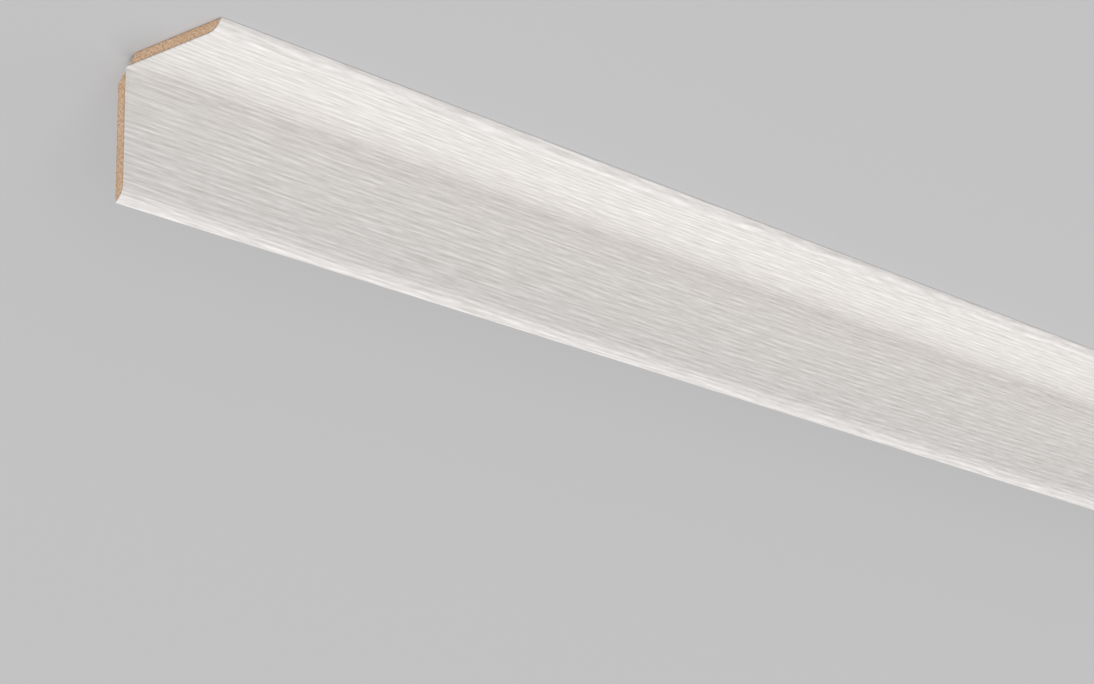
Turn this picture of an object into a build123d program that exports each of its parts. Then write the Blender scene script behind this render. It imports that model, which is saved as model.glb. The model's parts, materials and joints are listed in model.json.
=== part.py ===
from build123d import *
from math import radians, sqrt, tan
import os

# A folding angle moulding, bent to an inside corner and lying on one leg.
# Two fibreboard strips carry one decor foil, which alone crosses the crease and lets the legs fold.
# +X runs along the stock, +Y along the leg on the floor and +Z up the standing leg.

# Driving dimensions, in millimetres and degrees
LENGTH = 2400.0  # the stock as it is sold
LEG_WIDTH = 35.0  # from the corner of the decor faces to a free edge
LEG_THICKNESS = 3.0  # fibreboard and foil together
FOIL_THICKNESS = 0.3
EDGE_RADIUS = 5.0  # the decor face rounds off to each free edge
CREASE_RADIUS = 0.5  # inner bend of the foil in the corner
BARE_FOIL = 0.3  # flat foil between the bend and the fibreboard, on each leg
GROOVE_ANGLE = 45.0  # lean of each groove wall, so the groove is twice this when the moulding is flat

# Across a leg, from the corner of the decor faces outwards
core_start = CREASE_RADIUS + BARE_FOIL
rounding_start = LEG_WIDTH - sqrt(EDGE_RADIUS**2 - (EDGE_RADIUS - LEG_THICKNESS) ** 2)
core_edge = rounding_start + sqrt((EDGE_RADIUS - FOIL_THICKNESS) ** 2 - (EDGE_RADIUS - LEG_THICKNESS) ** 2)
groove_width = (LEG_THICKNESS - FOIL_THICKNESS) * tan(radians(GROOVE_ANGLE))

# The corner of the decor faces, placed so that the moulding stands centred on the origin
corner = Vector(0, -(LEG_WIDTH - LEG_THICKNESS) / 2, LEG_THICKNESS)
section_plane = Plane(origin=corner, x_dir=(0, 1, 0), z_dir=(1, 0, 0))
fold_plane = Plane(origin=corner, x_dir=(1, 0, 0), z_dir=(0, -1, 1))


def leg_core_section():
    """Fibreboard of the floor leg: groove wall on the left, rounded free edge on the right."""
    top = -FOIL_THICKNESS
    bottom = -LEG_THICKNESS
    face = Line((core_start, top), (rounding_start, top))
    rounding = TangentArc(face @ 1, (core_edge, bottom), tangent=face % 1)
    back = Polyline(rounding @ 1, (core_start + groove_width, bottom), face @ 0)
    return make_face([face, rounding, back])


def half_foil_section():
    """Foil of the floor leg, from the middle of the crease to the free edge."""
    inner = -FOIL_THICKNESS
    bend_centre = (CREASE_RADIUS, CREASE_RADIUS)
    bend = CenterArc(bend_centre, CREASE_RADIUS, 225, 45)
    face = Line(bend @ 1, (rounding_start, 0))
    rounding = TangentArc(face @ 1, (LEG_WIDTH, -LEG_THICKNESS), tangent=face % 1)
    glued_bend = CenterArc(bend_centre, CREASE_RADIUS + FOIL_THICKNESS, 225, 45)
    glued_face = Line(glued_bend @ 1, (rounding_start, inner))
    glued_rounding = TangentArc(glued_face @ 1, (core_edge, -LEG_THICKNESS), tangent=glued_face % 1)
    free_edge = Line(rounding @ 1, glued_rounding @ 1)
    middle = Line(bend @ 0, glued_bend @ 0)
    outline = [bend, face, rounding, glued_bend, glued_face, glued_rounding, free_edge, middle]
    return make_face(outline)


def stock(section):
    """A section drawn out to the full length."""
    return extrude(section_plane * section, amount=LENGTH / 2, both=True)


floor_leg_core = stock(leg_core_section())
half_foil = stock(half_foil_section())

pieces = {
    "floor_leg_core": floor_leg_core,
    "upright_leg_core": mirror(floor_leg_core, about=fold_plane),
    "decor_foil": half_foil + mirror(half_foil, about=fold_plane),
}

os.makedirs("parts", exist_ok=True)
for node, piece in pieces.items():
    export_step(piece, f"parts/{node}.step")
    print(node, f"{piece.volume / 1000:.1f} cm3")
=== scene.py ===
# %% [markdown]
# # A folding angle moulding
# Two thin fibreboard legs carry one pale wood-grain foil. The foil alone crosses the crease, so the
# moulding folds there. It lies on one leg, decor side up, and the other leg stands.
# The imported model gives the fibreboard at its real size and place. Blender adds the foil as one
# bent sheet, the finishes, the light and the camera.

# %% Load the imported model
import json
from math import acos, atan2, degrees, pi, radians, sin

import bpy
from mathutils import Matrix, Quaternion, Vector


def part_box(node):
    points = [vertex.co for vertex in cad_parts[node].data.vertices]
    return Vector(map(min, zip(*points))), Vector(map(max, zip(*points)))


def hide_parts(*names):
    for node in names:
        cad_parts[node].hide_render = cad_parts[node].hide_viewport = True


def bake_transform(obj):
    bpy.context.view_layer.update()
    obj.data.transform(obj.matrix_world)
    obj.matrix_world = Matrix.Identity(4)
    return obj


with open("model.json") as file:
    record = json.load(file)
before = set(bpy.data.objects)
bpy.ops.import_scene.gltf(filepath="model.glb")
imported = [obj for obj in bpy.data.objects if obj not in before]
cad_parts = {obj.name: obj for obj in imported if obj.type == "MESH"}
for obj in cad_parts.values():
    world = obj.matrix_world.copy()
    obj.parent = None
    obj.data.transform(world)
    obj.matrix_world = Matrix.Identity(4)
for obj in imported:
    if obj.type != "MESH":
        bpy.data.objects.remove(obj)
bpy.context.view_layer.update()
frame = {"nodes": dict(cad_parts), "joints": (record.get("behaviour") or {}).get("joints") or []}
MM = 0.001
print("nodes", sorted(frame["nodes"]))

# %% [markdown]
# ## Sizes of the section
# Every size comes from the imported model: the fold's axis is the corner where the two decor faces
# would meet, and the boxes of the pieces give the rest. Only the two radii are written here,
# because a box can't show them.

# %% Section sizes
EDGE_RADIUS = 5.0 * MM  # the decor face rounds off to each free edge
CREASE_RADIUS = 0.5 * MM  # inner bend of the foil in the corner

corner = Vector(frame["joints"][0]["pos_m"])
foil_low, foil_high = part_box("decor_foil")
board_low, board_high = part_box("floor_leg_core")
length = foil_high.x - foil_low.x
leg_width = foil_high.y - corner.y
leg_thickness = corner.z - foil_low.z
foil_thickness = corner.z - board_high.z
bare_foil = board_low.y - corner.y  # from the corner to the first fibreboard
edge_turn = acos((EDGE_RADIUS - leg_thickness) / EDGE_RADIUS)
rounding_start = leg_width - EDGE_RADIUS * sin(edge_turn)
flat_width = rounding_start - CREASE_RADIUS
print(f"leg {leg_width / MM:.1f} x {leg_thickness / MM:.1f} mm, foil {foil_thickness / MM:.2f} mm,",
      f"bare for {bare_foil / MM:.2f} mm, edge turns {degrees(edge_turn):.1f} degrees")

# %% [markdown]
# ## The camera
# The photo looks into the hollow of the moulding from below, as one sees it at the top of a wall.
# Here it rests on a floor, so the same picture is taken from in front and from above, with the
# camera rolled almost upside down. The place, aim and lens were found by lining up the edges of
# the legs with the photo.

# %% Camera
CAMERA_PLACE = Vector((-1.6702, 0.5408, 0.3013))
CAMERA_AIM = Vector((-0.9547, -0.0960, 0.0030))
CAMERA_ROLL = radians(178.9)
CAMERA_LENS = 102.8
SENSOR_WIDTH = 36.0

bpy.ops.object.select_all(action="DESELECT")
bpy.ops.object.camera_add(location=CAMERA_PLACE)
camera = bpy.context.object
camera.name = "photo_camera"
upright = (CAMERA_AIM - CAMERA_PLACE).to_track_quat("-Z", "Y")
camera.rotation_mode = "QUATERNION"
camera.rotation_quaternion = upright @ Quaternion((0, 0, 1), CAMERA_ROLL)
camera.data.lens = CAMERA_LENS
camera.data.sensor_width = SENSOR_WIDTH
camera.data.clip_start = 0.01
bpy.context.scene.camera = camera
print("camera", [round(x, 3) for x in CAMERA_PLACE])

# %% [markdown]
# ## The decor foil
# On the real moulding one printed foil is glued over both boards, round both free edges and across
# the crease. A sheet like this can be made by sweeping a drawn outline, but a bent sheet is easier
# to read as what it is: start with the flat part on the floor leg, spin its outer edge round the
# free edge, spin its inner edge through the crease, pull that up the standing leg and spin again.
# The two free edges are turned a little too far, because they are trimmed flush with the backs of
# the legs once the sheet has its thickness.

# %% Helpers for edit mode
def select_only(piece):
    """Makes this piece the only selected and active one."""
    bpy.ops.object.select_all(action="DESELECT")
    piece.select_set(True)
    bpy.context.view_layer.objects.active = piece


def select_edges(piece, wanted):
    """Opens edit mode with only those edges selected whose two ends both pass the test."""
    bpy.ops.object.mode_set(mode="EDIT")
    bpy.ops.mesh.select_mode(type="EDGE")
    bpy.ops.mesh.select_all(action="DESELECT")
    bpy.ops.object.mode_set(mode="OBJECT")
    for edge in piece.data.edges:
        edge.select = all(wanted(piece.data.vertices[i].co) for i in edge.vertices)
    bpy.ops.object.mode_set(mode="EDIT")


def near(value, target):
    """Tells whether two places are the same to within a hundredth of a millimetre."""
    return abs(value - target) < 0.01 * MM


# %% Bend the sheet
EDGE_STEPS = 16
CREASE_STEPS = 12
TRIM = radians(6)  # how much too far each free edge is turned

bpy.ops.object.select_all(action="DESELECT")
bpy.ops.mesh.primitive_plane_add(size=1)
foil = bpy.context.object
foil.name = "decor_foil_sheet"
foil.scale = (length, flat_width, 1)
foil.location = (0, corner.y + CREASE_RADIUS + flat_width / 2, corner.z)
bpy.ops.object.transform_apply(location=True, rotation=True, scale=True)

free_y = corner.y + rounding_start
select_edges(foil, lambda co: near(co.y, free_y))
bpy.ops.mesh.spin(steps=EDGE_STEPS, angle=edge_turn + TRIM, axis=(1, 0, 0),
                  center=(0, free_y, corner.z - EDGE_RADIUS))

bend_y = corner.y + CREASE_RADIUS
select_edges(foil, lambda co: near(co.y, bend_y))
bpy.ops.mesh.spin(steps=CREASE_STEPS, angle=pi / 2, axis=(1, 0, 0),
                  center=(0, bend_y, corner.z + CREASE_RADIUS))

bpy.ops.mesh.extrude_region_move(TRANSFORM_OT_translate={"value": (0, 0, flat_width)})
free_z = corner.z + rounding_start
bpy.ops.mesh.spin(steps=EDGE_STEPS, angle=edge_turn + TRIM, axis=(-1, 0, 0),
                  center=(0, corner.y - EDGE_RADIUS, free_z))
bpy.ops.object.mode_set(mode="OBJECT")
print("sheet of", len(foil.data.polygons), "faces")

# %% [markdown]
# Close to the crease each leg needs a few more lines across, because there the foil bends when the
# moulding is folded. Solidify then gives the sheet its thickness on the glued side, and two cuts
# trim it flush with the backs of the legs. Last it is cut into six equal strips along the length,
# so that its texture can be laid out strip above strip.

# %% Cut, thicken and trim the sheet
BEND_LINES = 3  # on each leg, between the crease and the fibreboard
STRIPS = 6
SMOOTH_UNDER = radians(30)  # steeper turns than this stay sharp


def cut(place, normal, **what):
    """Cuts through the whole sheet along a plane."""
    bpy.ops.mesh.select_all(action="SELECT")
    bpy.ops.mesh.bisect(plane_co=place, plane_no=normal, **what)


select_only(foil)
bpy.ops.object.mode_set(mode="EDIT")
for i in range(1, BEND_LINES + 1):
    out = CREASE_RADIUS + (bare_foil - CREASE_RADIUS) * i / BEND_LINES
    cut(corner + Vector((0, out, 0)), (0, 1, 0))
    cut(corner + Vector((0, 0, out)), (0, 0, 1))
bpy.ops.mesh.select_all(action="SELECT")
bpy.ops.mesh.normals_make_consistent(inside=False)
bpy.ops.object.mode_set(mode="OBJECT")

bpy.ops.object.modifier_add(type="SOLIDIFY")
thickness = foil.modifiers[-1]
thickness.thickness = foil_thickness
thickness.offset = -1  # the decor face stays where it is
thickness.use_even_offset = True
bpy.ops.object.modifier_apply(modifier=thickness.name)

strip_length = length / STRIPS
bpy.ops.object.mode_set(mode="EDIT")
cut((0, 0, foil_low.z), (0, 0, 1), clear_inner=True, use_fill=True)
cut((0, foil_low.y, 0), (0, 1, 0), clear_inner=True, use_fill=True)
for i in range(1, STRIPS):
    cut((foil_low.x + i * strip_length, 0, 0), (1, 0, 0))
bpy.ops.mesh.select_all(action="SELECT")
bpy.ops.mesh.normals_make_consistent(inside=False)
bpy.ops.object.mode_set(mode="OBJECT")
bpy.ops.object.shade_smooth_by_angle(angle=SMOOTH_UNDER)
print("foil of", len(foil.data.polygons), "faces, lowest", min(v.co.z for v in foil.data.vertices))

# %% [markdown]
# The print runs along the length and follows the sheet round its bends, so it needs a map of the
# flat foil. One map holds real metres, along and across, for the pattern. The other lays the six
# strips one above the other in a square, where a baked picture keeps the grain sharp.

# %% Unroll the sheet
FLOOR_GRAIN = 0.68  # the streaks lie wider apart on the floor leg
half_bend = CREASE_RADIUS * pi / 4
half_width = half_bend + flat_width + EDGE_RADIUS * edge_turn


def unrolled(co):
    """Distance of a point from the middle of the crease, along the foil: positive on the floor leg."""
    out = co.y - corner.y
    height = co.z - corner.z
    side = 1
    if height > out:
        out, height, side = height, out, -1
    if out < CREASE_RADIUS:
        turn = atan2(CREASE_RADIUS - out, CREASE_RADIUS - height)
        return side * (half_bend - CREASE_RADIUS * turn)
    if out < rounding_start:
        return side * (half_bend + out - CREASE_RADIUS)
    turn = atan2(out - rounding_start, height + EDGE_RADIUS)
    return side * (half_bend + flat_width + EDGE_RADIUS * turn)


decor_map = foil.data.uv_layers.new(name="decor")
square_map = foil.data.uv_layers.new(name="OFBake")
for face in foil.data.polygons:
    strip = int((face.center.x - foil_low.x) / strip_length)
    strip = min(max(strip, 0), STRIPS - 1)
    strip_start = foil_low.x + strip * strip_length
    for i in face.loop_indices:
        co = foil.data.vertices[foil.data.loops[i].vertex_index].co
        across = unrolled(co)
        decor_map.uv[i].vector = (co.x, across * (FLOOR_GRAIN if across > 0 else 1))
        share = (across + half_width) / (2 * half_width)
        square_map.uv[i].vector = ((co.x - strip_start) / strip_length, (strip + share) / STRIPS)
print(f"unrolled foil {2 * half_width / MM:.1f} mm wide")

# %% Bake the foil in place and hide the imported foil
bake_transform(foil)
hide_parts("decor_foil")

# %% [markdown]
# ## Finishes
# Every colour below is written as an sRGB hex value and every pattern has its real size in
# millimetres. Two small helpers keep the node trees readable.

# %% Colour and node helpers
def linear(hex_colour):
    """Turns an sRGB hex value such as "E2DED9" into the linear colour that a shader takes."""
    channels = [int(hex_colour[i : i + 2], 16) / 255 for i in (0, 2, 4)]
    return (*[c / 12.92 if c <= 0.04045 else ((c + 0.055) / 1.055) ** 2.4 for c in channels], 1)


def add_node(tree, kind, settings=None, inputs=None):
    """Adds a node with its settings. Each input takes a value, or a socket to link."""
    node = tree.nodes.new(kind)
    for name, value in (settings or {}).items():
        setattr(node, name, value)
    for name, value in (inputs or {}).items():
        if isinstance(value, bpy.types.NodeSocket):
            tree.links.new(value, node.inputs[name])
        else:
            node.inputs[name].default_value = value
    return node


def new_material(name):
    """Makes a material and gives it back with its node tree and its shader."""
    material = bpy.data.materials.new(name)
    material.use_nodes = True
    return material, material.node_tree, material.node_tree.nodes["Principled BSDF"]


# %% [markdown]
# ### Printed decor foil
# The foil is a thin plastic film, printed with combed white and grey streaks and lightly embossed
# with them. An image would be the usual way to print it. Here the streaks are built from noise, so
# they can run on for the whole length without repeating: a comb of sine stripes whose phase
# wanders, with every stripe fading in and out along its way, and short dashes over it.

# %% Where each streak runs
# Each wave that sways the grain: along, across and sway, in millimetres
GRAIN_WAVES = [(350, 70, 6), (110, 25, 0.8)]

foil_look, tree, shader = new_material("printed_decor_foil")
flat = add_node(tree, "ShaderNodeUVMap", {"uv_map": "decor"}).outputs["UV"]
flat_parts = add_node(tree, "ShaderNodeSeparateXYZ", None, {"Vector": flat})
across = flat_parts.outputs["Y"]
for wave_length, wave_width, sway in GRAIN_WAVES:
    stretched = add_node(tree, "ShaderNodeMapping", None, {
        "Vector": flat, "Scale": (1 / (wave_length * MM), 1 / (wave_width * MM), 1)})
    wave = add_node(tree, "ShaderNodeTexNoise", {"noise_dimensions": "2D"}, {
        "Vector": stretched.outputs["Vector"], "Scale": 1, "Detail": 0})
    across = add_node(tree, "ShaderNodeMath", {"operation": "MULTIPLY_ADD"}, {
        0: wave.outputs["Fac"], 1: sway * MM, 2: across}).outputs["Value"]
swayed = add_node(tree, "ShaderNodeCombineXYZ", None, {
    "X": flat_parts.outputs["X"], "Y": across}).outputs["Vector"]

# %% The noises that shape the streaks
# Each noise: along and across, in millimetres, and extra octaves
GRAIN_NOISES = {
    "wander": (50, 2.6, 0),
    "fade": (9, 1.7, 0),
    "dash": (10, 0.55, 0),
    "fibre": (3.5, 0.35, 1),
    "tone": (90, 6, 1),
}

noises = {}
for name, (noise_length, noise_width, octaves) in GRAIN_NOISES.items():
    stretched = add_node(tree, "ShaderNodeMapping", None, {
        "Vector": swayed, "Scale": (1 / (noise_length * MM), 1 / (noise_width * MM), 1)})
    noise = add_node(tree, "ShaderNodeTexNoise", {"noise_dimensions": "2D"}, {
        "Vector": stretched.outputs["Vector"], "Scale": 1, "Detail": octaves})
    noises[name] = noise.outputs["Fac"]

# %% The comb of streaks
STREAK_PITCH = 1.45  # millimetres
WANDER = 6.0  # radians of phase, over the range of its noise
CREST = 0.35  # how much narrower the light streaks are than the dark ones
SHARES = {"dash": 0.48, "fibre": 0.38}
TONE_SHARE = 0.05
FAINTEST, STRONGEST = 0.03, 0.25  # how strong a streak is where it fades and where it is full

phase = add_node(tree, "ShaderNodeMath", {"operation": "MULTIPLY"}, {
    0: across, 1: 2 * pi / (STREAK_PITCH * MM)}).outputs["Value"]
phase = add_node(tree, "ShaderNodeMath", {"operation": "MULTIPLY_ADD"}, {
    0: noises["wander"], 1: WANDER, 2: phase}).outputs["Value"]
comb = add_node(tree, "ShaderNodeMath", {"operation": "SINE"}, {0: phase}).outputs["Value"]
fade = add_node(tree, "ShaderNodeMapRange", None, {
    "Value": noises["fade"], "From Min": 0.3, "From Max": 0.7,
    "To Min": FAINTEST, "To Max": STRONGEST}).outputs["Result"]
crest = add_node(tree, "ShaderNodeMath", {"operation": "MULTIPLY_ADD"}, {
    0: comb, 1: CREST, 2: 1.0}).outputs["Value"]
fade = add_node(tree, "ShaderNodeMath", {"operation": "MULTIPLY"}, {
    0: fade, 1: crest}).outputs["Value"]
relief = add_node(tree, "ShaderNodeMath", {"operation": "MULTIPLY"}, {
    0: comb, 1: fade}).outputs["Value"]
for name, share in SHARES.items():
    relief = add_node(tree, "ShaderNodeMath", {"operation": "MULTIPLY_ADD"}, {
        0: noises[name], 1: share, 2: relief}).outputs["Value"]
tone = add_node(tree, "ShaderNodeMath", {"operation": "MULTIPLY_ADD"}, {
    0: noises["tone"], 1: TONE_SHARE, 2: relief}).outputs["Value"]

# %% Colour, gloss and emboss of the foil
DARKEST, LIGHTEST = 0.1, 0.9  # the range of tone that the print uses
DARK_ROUGHNESS, LIGHT_ROUGHNESS = 0.55, 0.45  # a satin film, a little duller in the dark streaks
EMBOSS_DEPTH = 0.05 * MM
EMBOSS_STRENGTH = 0.5

ramp = add_node(tree, "ShaderNodeValToRGB", None, {"Fac": tone})
stops = ramp.color_ramp.elements
stops[0].position, stops[0].color = DARKEST, linear("CCC8C4")
stops[1].position, stops[1].color = LIGHTEST, linear("F1EEEC")
tree.links.new(ramp.outputs["Color"], shader.inputs["Base Color"])
gloss = add_node(tree, "ShaderNodeMapRange", None, {
    "Value": tone, "From Min": DARKEST, "From Max": LIGHTEST,
    "To Min": DARK_ROUGHNESS, "To Max": LIGHT_ROUGHNESS})
tree.links.new(gloss.outputs["Result"], shader.inputs["Roughness"])
emboss = add_node(tree, "ShaderNodeBump", None, {
    "Height": relief, "Distance": EMBOSS_DEPTH, "Strength": EMBOSS_STRENGTH})
tree.links.new(emboss.outputs["Normal"], shader.inputs["Normal"])
foil.data.materials.append(foil_look)
print("foil material of", len(tree.nodes), "nodes")

# %% [markdown]
# ### Fibreboard
# The legs are medium-density fibreboard: wood fibres felted flat and pressed. A cut end shows the
# fibres lying along the board, darker bark specks, pale flecks, and skins that are denser near both
# faces. A thin dark line under the foil follows the rounded edge: it is the glue that holds the
# foil, with painted shade where foil and board meet.
# Object coordinates give the pattern its place. They are sorted so that Y is always the width of
# the leg and Z its depth, and both legs then share one recipe.

# %% Fibreboard of one leg
# Each noise: along, across and deep, in millimetres, and extra octaves
BOARD_NOISES = {
    "fibre": (1.1, 1.1, 0.25, 3),
    "speck": (0.6, 0.6, 0.35, 1),
    "cloud": (60, 15, 4, 2),
}
SKIN = 0.5 * MM  # how deep the dense skins reach
# width of the thin dark line under the foil: glue, with painted shade where foil and board meet
GLUE_AND_SHADE_LINE = 0.15 * MM
FIBRE_DEPTH = 0.08 * MM  # how far the fibres stand out of a cut or sanded face
FIBRE_STRENGTH = 0.5
BOARD_ROUGHNESS = 0.9
BOARD_SPECULAR = 0.25  # bare fibres reflect less than a closed surface


def fibreboard(name, width_axis, depth_axis):
    """Fibreboard of a leg, given the axis along its width and the axis through its thickness."""
    look, tree, shader = new_material(name)
    place = add_node(tree, "ShaderNodeTexCoord").outputs["Object"]
    place = add_node(tree, "ShaderNodeVectorMath", {"operation": "SUBTRACT"}, {
        0: place, 1: corner}).outputs["Vector"]
    parts = add_node(tree, "ShaderNodeSeparateXYZ", None, {"Vector": place}).outputs
    out, height = parts[width_axis], parts[depth_axis]
    board = add_node(tree, "ShaderNodeCombineXYZ", None, {
        "X": parts["X"], "Y": out, "Z": height}).outputs["Vector"]

    noises = {}
    for kind, (along, wide, deep, octaves) in BOARD_NOISES.items():
        stretched = add_node(tree, "ShaderNodeMapping", None, {
            "Vector": board, "Scale": (1 / (along * MM), 1 / (wide * MM), 1 / (deep * MM))})
        noises[kind] = add_node(tree, "ShaderNodeTexNoise", None, {
            "Vector": stretched.outputs["Vector"], "Scale": 1, "Detail": octaves}).outputs["Fac"]

    # Depth under the glued face, measured from the centre of the rounding past where that starts
    past = add_node(tree, "ShaderNodeMath", {"operation": "SUBTRACT"}, {0: out, 1: rounding_start})
    past = add_node(tree, "ShaderNodeMath", {"operation": "MAXIMUM"}, {0: past.outputs["Value"], 1: 0})
    rise = add_node(tree, "ShaderNodeMath", {"operation": "ADD"}, {0: height, 1: EDGE_RADIUS})
    reach = add_node(tree, "ShaderNodeCombineXYZ", None, {
        "X": past.outputs["Value"], "Y": rise.outputs["Value"]})
    reach = add_node(tree, "ShaderNodeVectorMath", {"operation": "LENGTH"}, {0: reach.outputs["Vector"]})
    under_foil = add_node(tree, "ShaderNodeMath", {"operation": "SUBTRACT"}, {
        0: EDGE_RADIUS - foil_thickness, 1: reach.outputs["Value"]}).outputs["Value"]
    over_back = add_node(tree, "ShaderNodeMath", {"operation": "ADD"}, {
        0: height, 1: leg_thickness}).outputs["Value"]
    inside = add_node(tree, "ShaderNodeMath", {"operation": "MINIMUM"}, {
        0: under_foil, 1: over_back}).outputs["Value"]

    ramp = add_node(tree, "ShaderNodeValToRGB", None, {"Fac": noises["fibre"]})
    stops = ramp.color_ramp.elements
    stops[0].position, stops[0].color = 0.3, linear("BA9272")
    stops[1].position, stops[1].color = 0.7, linear("E8CBAB")
    colour = ramp.outputs["Color"]
    # Each tint: what it follows, from none of the tint to the full tint, how much of it, its colour
    tints = [
        (noises["cloud"], 0.45, 0.75, 0.3, "B08763"),
        (inside, SKIN, 0, 0.4, "A17A58"),
        (noises["speck"], 0.60, 0.68, 0.7, "7D5C43"),
        (noises["speck"], 0.40, 0.32, 0.6, "EBD5BA"),
        # the thin dark line under the foil: glue, with painted shade where foil and board meet
        (under_foil, GLUE_AND_SHADE_LINE, GLUE_AND_SHADE_LINE / 2, 0.7, "6E523D"),
    ]
    for source, none, full, most, tint in tints:
        amount = add_node(tree, "ShaderNodeMapRange", None, {
            "Value": source, "From Min": none, "From Max": full, "To Min": 0, "To Max": most})
        colour = add_node(tree, "ShaderNodeMixRGB", None, {
            "Fac": amount.outputs["Result"], "Color1": colour,
            "Color2": linear(tint)}).outputs["Color"]
    tree.links.new(colour, shader.inputs["Base Color"])
    rough = add_node(tree, "ShaderNodeBump", None, {
        "Height": noises["fibre"], "Distance": FIBRE_DEPTH, "Strength": FIBRE_STRENGTH})
    tree.links.new(rough.outputs["Normal"], shader.inputs["Normal"])
    shader.inputs["Roughness"].default_value = BOARD_ROUGHNESS
    shader.inputs["Specular IOR Level"].default_value = BOARD_SPECULAR
    return look


# %% [markdown]
# Baked into a picture, a board would spend most of it on the face that the foil hides. So each
# board gets a square map of its own, with a broad band for each cut end and for the back.

# %% Lay out the faces of a board
# Each band of the map: where it starts in the square and how high it is
BANDS = {
    "near_end": (0.01, 0.13),
    "far_end": (0.15, 0.13),
    "groove_wall": (0.29, 0.10),
    "back": (0.40, 0.54),
    "hidden": (0.95, 0.04),
}


def lay_out(piece, width_axis, depth_axis):
    """Maps the cut ends of a board across the square, and its long faces lengthwise."""
    wide = "XYZ".index(width_axis)
    deep = "XYZ".index(depth_axis)
    mesh = piece.data
    square_map = mesh.uv_layers.new(name="OFBake")
    for face in mesh.polygons:
        band = "hidden"
        if abs(face.normal.x) > 0.5:
            band = "near_end" if face.normal.x < 0 else "far_end"
        elif face.normal[deep] < -0.9:
            band = "back"
        elif face.normal[wide] < -0.5:
            band = "groove_wall"
        start, height = BANDS[band]
        for i in face.loop_indices:
            co = mesh.vertices[mesh.loops[i].vertex_index].co
            along = (co.x - foil_low.x) / length
            out = (co[wide] - corner[wide]) / leg_width
            up = (co[deep] - corner[deep]) / leg_thickness + 1
            u = out if band.endswith("end") else along
            v = out if band in ("back", "hidden") else up
            square_map.uv[i].vector = (u, start + height * v)


# %% Dress both boards
# Each board: the name of its look, the axis along its width and the axis through its thickness
BOARDS = {
    "floor_leg_core": ("fibreboard_lying", "Y", "Z"),
    "upright_leg_core": ("fibreboard_standing", "Z", "Y"),
}
for node, (name, width_axis, depth_axis) in BOARDS.items():
    board_piece = frame["nodes"][node]
    lay_out(board_piece, width_axis, depth_axis)
    look = fibreboard(name, width_axis, depth_axis)
    for slot in board_piece.material_slots:
        slot.material = look
    print(node, "is", look.name)

# %% [markdown]
# ## Floor and light
# The moulding lies on a plain pale floor. Three lamps and an even sky light it. Each lamp is a sun
# with a wide disc, so it is as soft as a large softbox and as strong along the whole length.

# %% Floor
FLOOR_SIZE = 60.0
FLOOR_GAP = 0.1 * MM  # keeps the floor clear of the backs of the pieces
FLOOR_ROUGHNESS = 0.9

bpy.ops.object.select_all(action="DESELECT")
bpy.ops.mesh.primitive_plane_add(size=FLOOR_SIZE, location=(0, 0, foil_low.z - FLOOR_GAP))
floor = bpy.context.object
floor.name = "floor"
floor_look, tree, shader = new_material("plain_floor")
shader.inputs["Base Color"].default_value = linear("B9B9BA")
shader.inputs["Roughness"].default_value = FLOOR_ROUGHNESS
floor.data.materials.append(floor_look)

# %% Lamps and sky
SKY_STRENGTH = 0.4
LAMP_DISC = radians(26)
# Each lamp: where it stands round the object from +X, how high, and its strength
LAMPS = {
    "front_fill": (120, 15, 1.11),
    "end_key": (180, 65, 1.52),
    "back_key": (300, 65, 0.57),
}

for name, (bearing, elevation, strength) in LAMPS.items():
    bpy.ops.object.light_add(type="SUN")
    lamp = bpy.context.object
    lamp.name = name
    lamp.rotation_euler = (radians(90 - elevation), 0, radians(90 + bearing))
    lamp.data.angle = LAMP_DISC
    lamp.data.energy = strength
world = bpy.data.worlds.new("studio")
bpy.context.scene.world = world
world.use_nodes = True
sky = world.node_tree.nodes["Background"]
sky.inputs["Color"].default_value = (1, 1, 1, 1)
sky.inputs["Strength"].default_value = SKY_STRENGTH
bpy.context.scene.view_settings.view_transform = "Standard"
print("lamps", list(LAMPS))

# %% Update the scene
bpy.context.view_layer.update()
